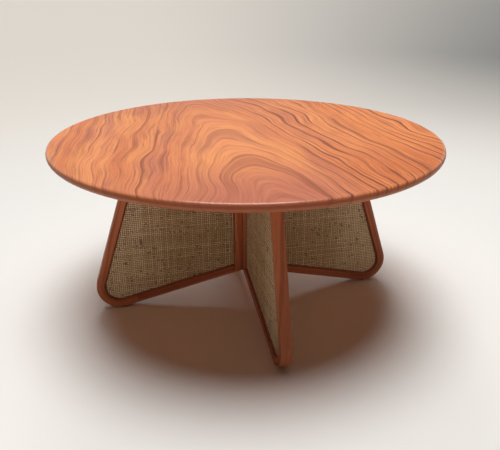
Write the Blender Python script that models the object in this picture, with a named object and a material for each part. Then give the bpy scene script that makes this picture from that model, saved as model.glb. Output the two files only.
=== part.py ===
"""A round coffee table: a solid wooden top on a cross of four upright fins.

Each fin is a grooved wooden frame with one rounded corner for its foot. A board sits in the groove, a
woven sheet covers each face of the board, and a reed spline runs round the edge of each sheet. The fins
are keyed to a square post, and steel figure-eight plates hold the top. Metres, +Z up, with the origin on
the floor under the middle of the top. The fins lie along X and Y.
"""

import math

import bmesh
import bpy
from mathutils import Matrix

# Whole table
TABLE_HEIGHT = 0.415
TOP_DIAMETER = 0.900
TOP_THICKNESS = 0.020
TOP_EDGE_BAND = 0.001  # upright band between the upper and the lower rounding of the edge
TOP_UPPER_ROUND = 0.0065

# Fin frame, seen square to its face
FIN_THICKNESS = 0.025
TOP_OVERHANG = 0.182  # from the fin's outer edge, under the top, out to the top's rim
OUTER_LEAN = math.radians(18.0)  # outer edge against the upright
BOTTOM_RISE = math.radians(12.6)  # bottom edge against the floor
FOOT_RADIUS = 0.056
FOOT_RUN = 0.030  # straight stretch of the outer stile after the foot's rounding
FRAME_WIDTH = 0.019
TOP_RAIL_WIDTH = 0.032

# Joints in the frame and at the hub
CLEARANCE = 0.0003
GROOVE_DEPTH = 0.007
TENON_SHOULDER = 0.003
KEY_THICKNESS = 0.006
KEY_DEPTH = 0.005
KEY_STOP = 0.025  # from the key's ends to the ends of the post

# Infill
BOARD_THICKNESS = 0.010
WEAVE_THICKNESS = 0.0016
SPLINE_WIDTH = 0.003
SPLINE_HEIGHT = 0.0022

# Glide under each foot
GLIDE_DIAMETER = 0.016
GLIDE_HEIGHT = 0.003
GLIDE_EDGE = 0.0008
GLIDE_SEAT_MARGIN = 0.001
GLIDE_PIN_DIAMETER = 0.005
GLIDE_PIN_COVER = 0.0035  # wood left between the pin and the groove

# Figure-eight plates and their countersunk screws
PLATE_LOBE_RADIUS = 0.009
PLATE_WAIST = 0.008
PLATE_THICKNESS = 0.0025
PLATE_REACH = 0.150  # from the table's axis
PLATE_INSET = 0.0075  # from the fin's face in to the middle of the let-in lobe
SCREW_SHANK_RADIUS = 0.0018
SCREW_HEAD_RADIUS = 0.0036
SCREW_LENGTH = 0.0135
SCREW_POINT = 0.003
SCREW_SINK = 0.0002  # head below the plate's face

# Facets of the round shapes
TOP_SIDES = 120
TOP_EDGE_STEPS = 5
FOOT_STEPS = 12
GLIDE_SIDES = 20
LOBE_SIDES = 20
SCREW_SIDES = 12

# Places that follow from the sizes
UNDERSIDE = TABLE_HEIGHT - TOP_THICKNESS
TOP_LOWER_ROUND = TOP_THICKNESS - TOP_EDGE_BAND - TOP_UPPER_ROUND
FIN_TOP_REACH = TOP_DIAMETER / 2 - TOP_OVERHANG
FIN_TOP = UNDERSIDE - CLEARANCE
POST_HALF = FIN_THICKNESS / 2
FIN_INNER = POST_HALF + CLEARANCE
STILE_EDGE = FIN_INNER + FRAME_WIDTH
GROOVE_FLOOR = FRAME_WIDTH - GROOVE_DEPTH
TOP_GROOVE_FLOOR = TOP_RAIL_WIDTH - GROOVE_DEPTH
GROOVE_HALF = BOARD_THICKNESS / 2 + CLEARANCE
GLIDE_SEAT = GLIDE_HEIGHT + CLEARANCE
GLIDE_FLAT_HALF = GLIDE_DIAMETER / 2 + GLIDE_SEAT_MARGIN
FOOT_Z = GLIDE_SEAT + math.sqrt(FOOT_RADIUS**2 - GLIDE_FLAT_HALF**2)
FOOT_R = (FIN_TOP_REACH + (UNDERSIDE - FOOT_Z) * math.tan(OUTER_LEAN)
          - FOOT_RADIUS / math.cos(OUTER_LEAN))
GLIDE_PIN_TOP = FOOT_Z - (FOOT_RADIUS - GROOVE_FLOOR) - GLIDE_PIN_COVER
WEAVE_FACE = BOARD_THICKNESS / 2 + CLEARANCE + WEAVE_THICKNESS
PLATE_TOP = UNDERSIDE - CLEARANCE
PLATE_BOTTOM = PLATE_TOP - PLATE_THICKNESS
LET_IN_Y = FIN_THICKNESS / 2 - PLATE_INSET
FREE_Y = LET_IN_Y + math.sqrt(4 * PLATE_LOBE_RADIUS**2 - PLATE_WAIST**2)
PAST = 0.006  # how far a cut runs out past the wood
MERGE_DISTANCE = 1e-5  # joins the points of a turned profile that meet on its axis

FINS = {"right": 0.0, "back": 90.0, "left": 180.0, "front": 270.0}


def clear_scene():
    for thing in list(bpy.data.objects):
        bpy.data.objects.remove(thing, do_unlink=True)


def finish_material(name, colour, roughness, metallic=0.0):
    """A plain finish in linear colour."""
    material = bpy.data.materials.new(name)
    material.use_nodes = True
    shader = material.node_tree.nodes["Principled BSDF"]
    shader.inputs["Base Color"].default_value = (*colour, 1.0)
    shader.inputs["Roughness"].default_value = roughness
    shader.inputs["Metallic"].default_value = metallic
    return material


def new_object(name, mesh, material=None, parent=None):
    thing = bpy.data.objects.new(name, mesh)
    bpy.context.scene.collection.objects.link(thing)
    if material:
        mesh.materials.clear()
        mesh.materials.append(material)
    thing.parent = parent
    return thing


def to_mesh(name, bm, smooth_angle=None):
    """Close off a bmesh into a mesh whose faces point out."""
    bmesh.ops.recalc_face_normals(bm, faces=bm.faces)
    mesh = bpy.data.meshes.new(name)
    bm.to_mesh(mesh)
    bm.free()
    if smooth_angle:
        mesh.shade_smooth()
        mesh.set_sharp_from_angle(angle=smooth_angle)
    return mesh


def slab(name, outline, low, high):
    """A flat piece: an outline of (r, z) points, as thick as from low to high across the fin."""
    bm = bmesh.new()
    face = bm.faces.new([bm.verts.new((r, low, z)) for r, z in outline])
    grown = bmesh.ops.extrude_face_region(bm, geom=[face])
    moved = [item for item in grown["geom"] if isinstance(item, bmesh.types.BMVert)]
    bmesh.ops.translate(bm, verts=moved, vec=(0.0, high - low, 0.0))
    return to_mesh(name, bm)


def ring(name, outside, inside, low, high):
    """A flat closed band between two outlines with the same number of points."""
    bm = bmesh.new()
    loops = [[bm.verts.new((r, y, z)) for r, z in outline]
             for outline, y in ((outside, low), (outside, high), (inside, high), (inside, low))]
    count = len(outside)
    for first, second in zip(loops, loops[1:] + loops[:1]):
        for i in range(count):
            j = (i + 1) % count
            bm.faces.new((first[i], first[j], second[j], second[i]))
    return to_mesh(name, bm)


def turned(name, profile, sides, centre=(0.0, 0.0), smooth_angle=math.radians(40)):
    """A turned piece: a profile of (radius, z) points from its upper end to its lower end."""
    bm = bmesh.new()
    points = [bm.verts.new((radius, 0.0, z)) for radius, z in profile]
    edges = [bm.edges.new(pair) for pair in zip(points, points[1:])]
    bmesh.ops.spin(bm, geom=points + edges, cent=(0, 0, 0), axis=(0, 0, 1),
                   angle=math.tau, steps=sides, use_merge=True)
    bmesh.ops.remove_doubles(bm, verts=bm.verts, dist=MERGE_DISTANCE)
    bmesh.ops.translate(bm, verts=bm.verts, vec=(*centre, 0.0))
    return to_mesh(name, bm, smooth_angle)


def combined(mesh, *steps):
    """Cut or join other meshes with this one, in order. Each step is (operation, mesh)."""
    work = bpy.data.objects.new("work", mesh)
    tool = bpy.data.objects.new("tool", mesh)
    for thing in (work, tool):
        bpy.context.scene.collection.objects.link(thing)
    for operation, other in steps:
        tool.data = other
        modifier = work.modifiers.new(operation, "BOOLEAN")
        modifier.operation = operation
        modifier.solver = "EXACT"
        modifier.object = tool
        depsgraph = bpy.context.evaluated_depsgraph_get()
        work_after = bpy.data.meshes.new_from_object(work.evaluated_get(depsgraph))
        work.modifiers.clear()
        work.data = work_after
    result = work.data
    result.name = mesh.name
    bpy.data.objects.remove(work)
    bpy.data.objects.remove(tool)
    return result


def outer_r(z, inset=0.0):
    """Radius of the fin's leaning outer edge at a height, moved in by inset."""
    return FIN_TOP_REACH + (UNDERSIDE - z) * math.tan(OUTER_LEAN) - inset / math.cos(OUTER_LEAN)


def bottom_z(r, inset=0.0):
    """Height of the fin's rising bottom edge at a radius, moved in by inset."""
    return (FOOT_Z + (FOOT_R - r) * math.tan(BOTTOM_RISE)
            - (FOOT_RADIUS - inset) / math.cos(BOTTOM_RISE))


def foot_arc(inset):
    """Points round the foot, from the outer edge to the bottom edge."""
    start = OUTER_LEAN
    sweep = math.pi / 2 + BOTTOM_RISE + OUTER_LEAN
    radius = FOOT_RADIUS - inset
    angles = [start - sweep * i / FOOT_STEPS for i in range(FOOT_STEPS + 1)]
    return [(FOOT_R + radius * math.cos(a), FOOT_Z + radius * math.sin(a)) for a in angles]


def run_point(run, inset):
    """A point on the foot's straight run, at a length past the rounding and an inset from the edge."""
    r, z = foot_arc(inset)[-1]
    return r - run * math.cos(BOTTOM_RISE), z + run * math.sin(BOTTOM_RISE)


def fin_outline(side, top):
    """The whole fin's outline moved in by side, and by top at its upper edge."""
    r, z = FIN_INNER + side, FIN_TOP - top
    return [(r, z), (outer_r(z, side), z), *foot_arc(side), (r, bottom_z(r, side))]


def outer_stile_mesh():
    """Leaning stile whose lower end turns round the foot, grooved inside, mortised for both rails."""
    top_in = outer_r(FIN_TOP, FRAME_WIDTH)
    outline = [(outer_r(FIN_TOP), FIN_TOP), *foot_arc(0.0), run_point(FOOT_RUN, 0.0),
               run_point(FOOT_RUN, FRAME_WIDTH), *reversed(foot_arc(FRAME_WIDTH)), (top_in, FIN_TOP)]
    groove_top = FIN_TOP - TENON_SHOULDER + CLEARANCE
    mortise_low = TENON_SHOULDER - CLEARANCE
    mortise_start = FOOT_RUN - GROOVE_DEPTH
    groove = [(outer_r(groove_top, GROOVE_FLOOR), groove_top), *foot_arc(GROOVE_FLOOR),
              run_point(mortise_start, GROOVE_FLOOR), run_point(mortise_start, mortise_low),
              run_point(FOOT_RUN + PAST, mortise_low), run_point(FOOT_RUN + PAST, FRAME_WIDTH + PAST),
              (outer_r(groove_top, FRAME_WIDTH + PAST), groove_top)]
    half = FIN_THICKNESS / 2
    below = [(FOOT_R - FOOT_RADIUS, GLIDE_SEAT), (FOOT_R + FOOT_RADIUS, GLIDE_SEAT),
             (FOOT_R + FOOT_RADIUS, -FOOT_RADIUS), (FOOT_R - FOOT_RADIUS, -FOOT_RADIUS)]
    hole = GLIDE_PIN_DIAMETER / 2 + CLEARANCE
    hole_end = GLIDE_PIN_TOP + CLEARANCE
    pin_hole = [(0.0, hole_end), (hole, hole_end), (hole, GLIDE_SEAT - PAST), (0.0, GLIDE_SEAT - PAST)]
    return combined(
        slab("outer_stile", outline, -half, half),
        ("DIFFERENCE", slab("groove", groove, -GROOVE_HALF, GROOVE_HALF)),
        ("DIFFERENCE", slab("glide_seat", below, -half - PAST, half + PAST)),
        ("DIFFERENCE", turned("pin_hole", pin_hole, GLIDE_SIDES, (FOOT_R, 0.0))),
    )


def inner_stile_mesh():
    """Upright stile against the hub, grooved for the board and the rails, and slotted for the hub key."""
    half = FIN_THICKNESS / 2
    outline = [(FIN_INNER, FIN_TOP), (STILE_EDGE, FIN_TOP), (STILE_EDGE, bottom_z(STILE_EDGE)),
               (FIN_INNER, bottom_z(FIN_INNER))]
    floor = STILE_EDGE - GROOVE_DEPTH
    out = STILE_EDGE + PAST
    groove_top = FIN_TOP - TENON_SHOULDER + CLEARANCE
    mortise_low = TENON_SHOULDER - CLEARANCE
    groove = [(floor, groove_top), (out, groove_top), (out, bottom_z(out, mortise_low)),
              (floor, bottom_z(floor, mortise_low))]
    slot_floor = FIN_INNER + KEY_DEPTH + CLEARANCE
    low, high = key_ends()
    slot = [(FIN_INNER - PAST, high + CLEARANCE), (slot_floor, high + CLEARANCE),
            (slot_floor, low - CLEARANCE), (FIN_INNER - PAST, low - CLEARANCE)]
    slot_half = KEY_THICKNESS / 2 + CLEARANCE
    return combined(
        slab("inner_stile", outline, -half, half),
        ("DIFFERENCE", slab("groove", groove, -GROOVE_HALF, GROOVE_HALF)),
        ("DIFFERENCE", slab("key_slot", slot, -slot_half, slot_half)),
    )


def bottom_rail_mesh():
    """Rising rail from the foot to the hub, grooved above, with a stub tenon at each end."""
    half = FIN_THICKNESS / 2
    near = STILE_EDGE + CLEARANCE
    start = FOOT_RUN + CLEARANCE
    outline = [run_point(start, FRAME_WIDTH), run_point(start, 0.0), (near, bottom_z(near)),
               (near, bottom_z(near, FRAME_WIDTH))]
    groove = [run_point(start - PAST, FRAME_WIDTH + PAST), run_point(start - PAST, GROOVE_FLOOR),
              (near - PAST, bottom_z(near - PAST, GROOVE_FLOOR)),
              (near - PAST, bottom_z(near - PAST, FRAME_WIDTH + PAST))]
    tip = STILE_EDGE - GROOVE_DEPTH + CLEARANCE
    foot_tip = FOOT_RUN - GROOVE_DEPTH + CLEARANCE
    upper = GROOVE_FLOOR - CLEARANCE
    tenon = [run_point(foot_tip, upper), run_point(foot_tip, TENON_SHOULDER),
             (tip, bottom_z(tip, TENON_SHOULDER)), (tip, bottom_z(tip, upper))]
    return combined(
        slab("bottom_rail", outline, -half, half),
        ("DIFFERENCE", slab("groove", groove, -GROOVE_HALF, GROOVE_HALF)),
        ("UNION", slab("tenons", tenon, -BOARD_THICKNESS / 2, BOARD_THICKNESS / 2)),
    )


def figure_eight(name, grow, low, high):
    """Two round lobes that run into each other across the fin's face, grown by a margin all round."""
    radius = PLATE_LOBE_RADIUS + grow
    waist = math.acos((FREE_Y - LET_IN_Y) / 2 / radius)
    sweep = math.tau - 2 * waist
    bm = bmesh.new()
    points = []
    for middle, start in ((LET_IN_Y, math.pi / 2 + waist), (FREE_Y, waist - math.pi / 2)):
        for i in range(LOBE_SIDES):
            angle = start + sweep * i / LOBE_SIDES
            spot = (PLATE_REACH + radius * math.cos(angle), middle + radius * math.sin(angle), low)
            points.append(bm.verts.new(spot))
    grown = bmesh.ops.extrude_face_region(bm, geom=[bm.faces.new(points)])
    moved = [item for item in grown["geom"] if isinstance(item, bmesh.types.BMVert)]
    bmesh.ops.translate(bm, verts=moved, vec=(0.0, 0.0, high - low))
    return to_mesh(name, bm)


def top_rail_mesh():
    """Level rail under the top, grooved below, tenoned at both ends and let in for the top's plate."""
    half = FIN_THICKNESS / 2
    near = STILE_EDGE + CLEARANCE
    far_inset = FRAME_WIDTH + CLEARANCE
    low = FIN_TOP - TOP_RAIL_WIDTH
    outline = [(near, FIN_TOP), (outer_r(FIN_TOP, far_inset), FIN_TOP), (outer_r(low, far_inset), low),
               (near, low)]
    floor = FIN_TOP - TOP_GROOVE_FLOOR
    groove = [(near - PAST, floor), (outer_r(floor, far_inset - PAST), floor),
              (outer_r(low - PAST, far_inset - PAST), low - PAST), (near - PAST, low - PAST)]
    tip = STILE_EDGE - GROOVE_DEPTH + CLEARANCE
    far_tip = GROOVE_FLOOR + CLEARANCE
    tenon_top = FIN_TOP - TENON_SHOULDER
    tenon_low = floor + CLEARANCE
    tenon = [(tip, tenon_top), (outer_r(tenon_top, far_tip), tenon_top),
             (outer_r(tenon_low, far_tip), tenon_low), (tip, tenon_low)]
    recess = figure_eight("recess", CLEARANCE, PLATE_BOTTOM - CLEARANCE, FIN_TOP + PAST)
    hole_radius = SCREW_SHANK_RADIUS + CLEARANCE
    hole_end = PLATE_TOP - SCREW_SINK - SCREW_LENGTH - CLEARANCE
    hole = [(0.0, FIN_TOP + PAST), (hole_radius, FIN_TOP + PAST), (hole_radius, hole_end), (0.0, hole_end)]
    return combined(
        slab("top_rail", outline, -half, half),
        ("DIFFERENCE", slab("groove", groove, -GROOVE_HALF, GROOVE_HALF)),
        ("UNION", slab("tenons", tenon, -BOARD_THICKNESS / 2, BOARD_THICKNESS / 2)),
        ("DIFFERENCE", recess),
        ("DIFFERENCE", turned("pilot_hole", hole, SCREW_SIDES, (PLATE_REACH, LET_IN_Y))),
    )


def board_mesh():
    """Board held in the groove all round."""
    outline = fin_outline(GROOVE_FLOOR + CLEARANCE, TOP_GROOVE_FLOOR + CLEARANCE)
    return slab("panel_board", outline, -BOARD_THICKNESS / 2, BOARD_THICKNESS / 2)


def weave_mesh(side):
    """Woven sheet on one face of the board, filling the frame's opening."""
    outline = fin_outline(FRAME_WIDTH + CLEARANCE, TOP_RAIL_WIDTH + CLEARANCE)
    faces = sorted((side * (WEAVE_FACE - WEAVE_THICKNESS), side * WEAVE_FACE))
    return slab("weave", outline, *faces)


def spline_mesh(side):
    """Reed that runs round the sheet's edge and holds it down."""
    inset = CLEARANCE + SPLINE_WIDTH
    outside = fin_outline(FRAME_WIDTH + CLEARANCE, TOP_RAIL_WIDTH + CLEARANCE)
    inside = fin_outline(FRAME_WIDTH + inset, TOP_RAIL_WIDTH + inset)
    low = WEAVE_FACE + CLEARANCE
    faces = sorted((side * low, side * (low + SPLINE_HEIGHT)))
    return ring("spline", outside, inside, *faces)


def glide_mesh():
    """Moulded glide with a pin that is pressed up into the foot."""
    radius = GLIDE_DIAMETER / 2
    pin = GLIDE_PIN_DIAMETER / 2
    profile = [(0.0, GLIDE_PIN_TOP), (pin, GLIDE_PIN_TOP), (pin, GLIDE_HEIGHT), (radius, GLIDE_HEIGHT),
               (radius, GLIDE_EDGE), (radius - GLIDE_EDGE, 0.0), (0.0, 0.0)]
    return turned("foot_glide", profile, GLIDE_SIDES, (FOOT_R, 0.0))


def countersink(face, way):
    """Cutter for a screw hole through the plate, opening out towards its face."""
    hole = SCREW_SHANK_RADIUS + CLEARANCE
    head = SCREW_HEAD_RADIUS + CLEARANCE
    profile = [(0.0, face + way * PAST), (head + PAST, face + way * PAST),
               (hole, face - way * (head - hole)), (hole, face - way * PAST), (0.0, face - way * PAST)]
    return profile if way > 0 else profile[::-1]


def plate_mesh():
    """Steel figure-eight plate, with one lobe let into the rail and one lobe out under the top."""
    rail_hole = turned("rail_hole", countersink(PLATE_TOP, 1), SCREW_SIDES, (PLATE_REACH, LET_IN_Y))
    top_hole = turned("top_hole", countersink(PLATE_BOTTOM, -1), SCREW_SIDES, (PLATE_REACH, FREE_Y))
    plate = figure_eight("top_fastener", 0.0, PLATE_BOTTOM, PLATE_TOP)
    return combined(plate, ("DIFFERENCE", rail_hole), ("DIFFERENCE", top_hole))


def screw_mesh(head_z, way, y):
    """Countersunk wood screw whose head faces up (way 1) or down (way -1)."""
    neck = SCREW_HEAD_RADIUS - SCREW_SHANK_RADIUS
    stations = [(0.0, 0.0), (SCREW_HEAD_RADIUS, 0.0), (SCREW_SHANK_RADIUS, neck),
                (SCREW_SHANK_RADIUS, SCREW_LENGTH - SCREW_POINT), (0.0, SCREW_LENGTH)]
    profile = [(radius, head_z - way * depth) for radius, depth in stations]
    return turned("screw", profile if way > 0 else profile[::-1], SCREW_SIDES, (PLATE_REACH, y))


def key_ends():
    """Lower and upper end of the hub keys."""
    return bottom_z(FIN_INNER) + KEY_STOP, FIN_TOP - KEY_STOP


def key_mesh():
    """Loose tongue, half in the post and half in the inner stile."""
    low, high = key_ends()
    inner = POST_HALF - KEY_DEPTH
    outer = FIN_INNER + KEY_DEPTH
    outline = [(inner, high), (outer, high), (outer, low), (inner, low)]
    return slab("hub_key", outline, -KEY_THICKNESS / 2, KEY_THICKNESS / 2)


def post_mesh():
    """Square post at the crossing, slotted on its four faces for the keys."""
    low, high = key_ends()
    bottom = bottom_z(FIN_INNER)
    outline = [(-POST_HALF, FIN_TOP), (POST_HALF, FIN_TOP), (POST_HALF, bottom), (-POST_HALF, bottom)]
    slot_floor = POST_HALF - KEY_DEPTH - CLEARANCE
    slot_half = KEY_THICKNESS / 2 + CLEARANCE
    out = POST_HALF + PAST
    slot = [(slot_floor, high + CLEARANCE), (out, high + CLEARANCE), (out, low - CLEARANCE),
            (slot_floor, low - CLEARANCE)]
    cuts = []
    for degrees in FINS.values():
        cutter = slab("key_slot", slot, -slot_half, slot_half)
        cutter.transform(Matrix.Rotation(math.radians(degrees), 4, "Z"))
        cuts.append(("DIFFERENCE", cutter))
    return combined(slab("hub_post", outline, -POST_HALF, POST_HALF), *cuts)


def tabletop_mesh():
    """Round slab with a rounded edge, fuller below, drilled from below for the four plates."""
    radius = TOP_DIAMETER / 2
    quarter = [math.pi / 2 * i / TOP_EDGE_STEPS for i in range(TOP_EDGE_STEPS + 1)]
    short = [1 - math.sin(a) for a in quarter]
    sunk = [1 - math.cos(a) for a in quarter]
    upper = [(radius - TOP_UPPER_ROUND * i, TABLE_HEIGHT - TOP_UPPER_ROUND * d) for i, d in zip(short, sunk)]
    lower = [(radius - TOP_LOWER_ROUND * i, UNDERSIDE + TOP_LOWER_ROUND * d) for i, d in zip(sunk, short)]
    profile = [(0.0, TABLE_HEIGHT), *upper, *lower, (0.0, UNDERSIDE)]
    hole_radius = SCREW_SHANK_RADIUS + CLEARANCE
    hole_end = PLATE_BOTTOM + SCREW_SINK + SCREW_LENGTH + CLEARANCE
    mouth = UNDERSIDE - PAST
    hole = [(0.0, hole_end), (hole_radius, hole_end), (hole_radius, mouth), (0.0, mouth)]
    cuts = []
    for degrees in FINS.values():
        cutter = turned("screw_hole", hole, SCREW_SIDES, (PLATE_REACH, FREE_Y))
        cutter.transform(Matrix.Rotation(math.radians(degrees), 4, "Z"))
        cuts.append(("DIFFERENCE", cutter))
    top = combined(turned("tabletop", profile, TOP_SIDES), *cuts)
    top.shade_smooth()
    top.set_sharp_from_angle(angle=math.radians(40))
    return top


clear_scene()

top_wood = finish_material("top_wood", (0.56, 0.235, 0.108), 0.38)
frame_wood = finish_material("frame_wood", (0.21, 0.062, 0.030), 0.45)
panel_board = finish_material("panel_board", (0.12, 0.070, 0.040), 0.75)
woven_cane = finish_material("woven_cane", (0.26, 0.185, 0.105), 0.80)
reed_spline = finish_material("reed_spline", (0.10, 0.034, 0.020), 0.60)
fastener_steel = finish_material("fastener_steel", (0.55, 0.54, 0.52), 0.35, 1.0)
glide_nylon = finish_material("glide_nylon", (0.030, 0.026, 0.024), 0.55)

new_object("tabletop", tabletop_mesh(), top_wood)
new_object("hub_post", post_mesh(), frame_wood)

FIN_PIECES = {
    "outer_stile": (outer_stile_mesh(), frame_wood),
    "inner_stile": (inner_stile_mesh(), frame_wood),
    "top_rail": (top_rail_mesh(), frame_wood),
    "bottom_rail": (bottom_rail_mesh(), frame_wood),
    "panel_board": (board_mesh(), panel_board),
    "weave_a": (weave_mesh(1), woven_cane),
    "weave_b": (weave_mesh(-1), woven_cane),
    "spline_a": (spline_mesh(1), reed_spline),
    "spline_b": (spline_mesh(-1), reed_spline),
    "foot_glide": (glide_mesh(), glide_nylon),
    "hub_key": (key_mesh(), frame_wood),
    "top_fastener": (plate_mesh(), fastener_steel),
    "rail_screw": (screw_mesh(PLATE_TOP - SCREW_SINK, 1, LET_IN_Y), fastener_steel),
    "top_screw": (screw_mesh(PLATE_BOTTOM + SCREW_SINK, -1, FREE_Y), fastener_steel),
}

for fin, degrees in FINS.items():
    hub = new_object(f"{fin}_fin", None)
    hub.rotation_euler.z = math.radians(degrees)
    for piece, (mesh, material) in FIN_PIECES.items():
        new_object(f"{fin}_{piece}", mesh, material, hub)
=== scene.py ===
"""Looks of a round coffee table: a solid wooden top on a cross of four woven fins.

Metres, +Z up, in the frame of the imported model. The pieces of a fin are shaped on the +X side, where X runs
out from the hub and Y through the fin, and are then turned into place on all four.
"""

import math

import bmesh
import bpy
import numpy as np
from mathutils import Matrix, Vector


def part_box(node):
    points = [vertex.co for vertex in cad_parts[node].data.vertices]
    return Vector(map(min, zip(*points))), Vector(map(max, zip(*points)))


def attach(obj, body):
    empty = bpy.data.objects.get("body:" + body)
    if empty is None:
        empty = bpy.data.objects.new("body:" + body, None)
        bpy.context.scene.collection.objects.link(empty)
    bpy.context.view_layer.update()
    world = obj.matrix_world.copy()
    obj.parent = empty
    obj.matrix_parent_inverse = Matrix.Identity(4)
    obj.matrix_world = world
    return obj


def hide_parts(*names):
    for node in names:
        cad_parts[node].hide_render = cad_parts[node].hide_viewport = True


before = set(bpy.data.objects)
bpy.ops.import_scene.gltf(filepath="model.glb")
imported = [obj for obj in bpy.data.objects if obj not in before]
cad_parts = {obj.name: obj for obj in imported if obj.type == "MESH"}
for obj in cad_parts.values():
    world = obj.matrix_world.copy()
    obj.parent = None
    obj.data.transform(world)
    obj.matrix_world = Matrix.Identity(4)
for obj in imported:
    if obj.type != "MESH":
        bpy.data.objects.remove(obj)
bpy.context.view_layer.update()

# Outer stiles
# Each fin's leaning stile is one length of red-brown hardwood, bent round the foot and on under the panel.
# It is grooved inside for the board, its arrises are eased by hand, and it is oiled.
FINS = {"right": 0, "back": 90, "left": 180, "front": 270}
AXIS_X, AXIS_Y, AXIS_Z = Vector((1.0, 0.0, 0.0)), Vector((0.0, 1.0, 0.0)), Vector((0.0, 0.0, 1.0))
LEAN = math.radians(18.0)
RISE = math.radians(12.6)
FOOT_RADIUS = 0.056
FOOT_FLAT = 0.018
FOOT_RUN = 0.030
FOOT_STEPS = 28
GROOVE_DEPTH = 0.007
FIT = 0.0003
EASE = 0.0022
EASE_STEPS = 3
SHARP = math.radians(40)
SMOOTH = math.radians(35)
NEAR = 1e-5

stile_low, stile_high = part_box("right_outer_stile")
hub_stile_low, hub_stile_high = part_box("right_inner_stile")
glide_low, glide_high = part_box("right_foot_glide")
board_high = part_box("right_panel_board")[1]
half = stile_high.y
fin_top = stile_high.z
foot_seat = stile_low.z
frame_width = hub_stile_high.x - hub_stile_low.x
groove_half = board_high.y + FIT

# The fin's outline is set out from the middle of its rounded foot.
foot = Vector(((glide_low.x + glide_high.x) / 2, 0.0,
               foot_seat + math.sqrt(FOOT_RADIUS**2 - (FOOT_FLAT / 2)**2)))
OUT_WAY = Vector((math.cos(LEAN), 0.0, math.sin(LEAN)))
UP_WAY = Vector((-math.sin(LEAN), 0.0, math.cos(LEAN)))
DOWN_WAY = Vector((-math.sin(RISE), 0.0, -math.cos(RISE)))
HUB_WAY = Vector((-math.cos(RISE), 0.0, math.sin(RISE)))
FOOT_SWEEP = math.pi / 2 + LEAN + RISE


def start(add, scale=(1.0, 1.0, 1.0), **where):
    """Add a primitive with nothing else selected, put its place in its mesh, and open it."""
    bpy.ops.object.select_all(action="DESELECT")
    add(**where)
    part = bpy.context.object
    part.scale = scale
    bpy.ops.object.transform_apply(location=True, rotation=True, scale=True)
    bpy.ops.object.mode_set(mode="EDIT")
    bpy.ops.mesh.select_all(action="SELECT")
    return part


def middle(item):
    """The middle of an edge or a face."""
    return sum((v.co for v in item.verts), Vector()) / len(item.verts)


def pick(part, kind, wanted):
    """Select what is wanted of the open piece's EDGE or FACE items, and nothing else."""
    bpy.ops.mesh.select_mode(type=kind)
    bpy.ops.mesh.select_all(action="DESELECT")
    shape = bmesh.from_edit_mesh(part.data)
    for item in {"EDGE": shape.edges, "FACE": shape.faces}[kind]:
        if wanted(item):
            item.select_set(True)
    bmesh.update_edit_mesh(part.data)


def extrude(way):
    """Draw the selection out along a way."""
    bpy.ops.mesh.extrude_region_move(TRANSFORM_OT_translate={"value": way})


def split(axis, *places):
    """Cut edges into the whole open piece across an axis, at each place along it."""
    for at in places:
        bpy.ops.mesh.select_all(action="SELECT")
        bpy.ops.mesh.bisect(plane_co=axis * at, plane_no=axis)


def cut_off(point, normal):
    """Saw the open piece along a plane, and drop what lies on the normal's side."""
    bpy.ops.mesh.select_all(action="SELECT")
    bpy.ops.mesh.bisect(plane_co=point, plane_no=normal, use_fill=True, clear_outer=True)


def grooved_section(edge, inward, width):
    """The U-shaped end of a frame member: a web on the fin's edge, and a cheek on each side of the groove."""
    web = width - GROOVE_DEPTH
    part = start(bpy.ops.mesh.primitive_plane_add, (web, 2 * half, 1.0), size=1.0,
                 location=edge + inward * web / 2, rotation=(0.0, math.atan2(-inward.z, inward.x), 0.0))
    split(AXIS_Y, -groove_half, groove_half)
    floor = edge + inward * web
    pick(part, "EDGE", lambda e: (abs((middle(e) - floor).dot(inward)) < NEAR
                                  and abs(middle(e).y) > groove_half))
    extrude(inward * GROOVE_DEPTH)
    bpy.ops.mesh.select_mode(type="FACE")
    bpy.ops.mesh.select_all(action="SELECT")
    return part


def round_over(radius, steps):
    """Round the selected edges of the open piece."""
    bpy.ops.mesh.bevel(offset=radius, segments=steps, profile=0.5, affect="EDGES")


def ease_arrises(part, joints):
    """Round over the long arrises on both faces of the fin, but not those in the planes of the joints."""
    def arris(edge):
        ends = [v.co for v in edge.verts]
        on_face = all(abs(abs(p.y) - half) < NEAR for p in ends) and ends[0].y * ends[1].y > 0
        at_joint = any(all(abs((p - point).dot(normal)) < NEAR for p in ends) for point, normal in joints)
        return on_face and not at_joint and edge.calc_face_angle(0.0) > SHARP
    pick(part, "EDGE", arris)
    round_over(EASE, EASE_STEPS)


def bend_round_foot(part, run):
    """Carry the lower end of the open piece round the foot, and on along the bottom edge."""
    pick(part, "FACE", lambda f: abs((middle(f) - foot).dot(UP_WAY)) < NEAR)
    bpy.ops.mesh.spin(steps=FOOT_STEPS, angle=-FOOT_SWEEP, center=foot, axis=AXIS_Y)
    extrude(HUB_WAY * run)


def close_shape(part, name):
    """Merge what meets, turn the faces out, and shade the rounded parts smooth beside flat faces."""
    bpy.ops.mesh.select_all(action="SELECT")
    bpy.ops.mesh.remove_doubles(threshold=NEAR / 10)
    bpy.ops.mesh.normals_make_consistent(inside=False)
    bpy.ops.object.mode_set(mode="OBJECT")
    bpy.ops.object.shade_smooth_by_angle(angle=SMOOTH)
    part.modifiers.new("flat_faces", "WEIGHTED_NORMAL").keep_sharp = True
    bpy.ops.object.modifier_apply(modifier="flat_faces")
    part.name = name
    part.data.name = name


def lay_grain(part, flow):
    """Store how the timber lies at each point: metres along, across and through the piece."""
    grain = part.data.attributes.new("grain", "FLOAT_VECTOR", "POINT")
    grain.data.foreach_set("vector", [c for v in part.data.vertices for c in flow(v.co)])


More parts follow.
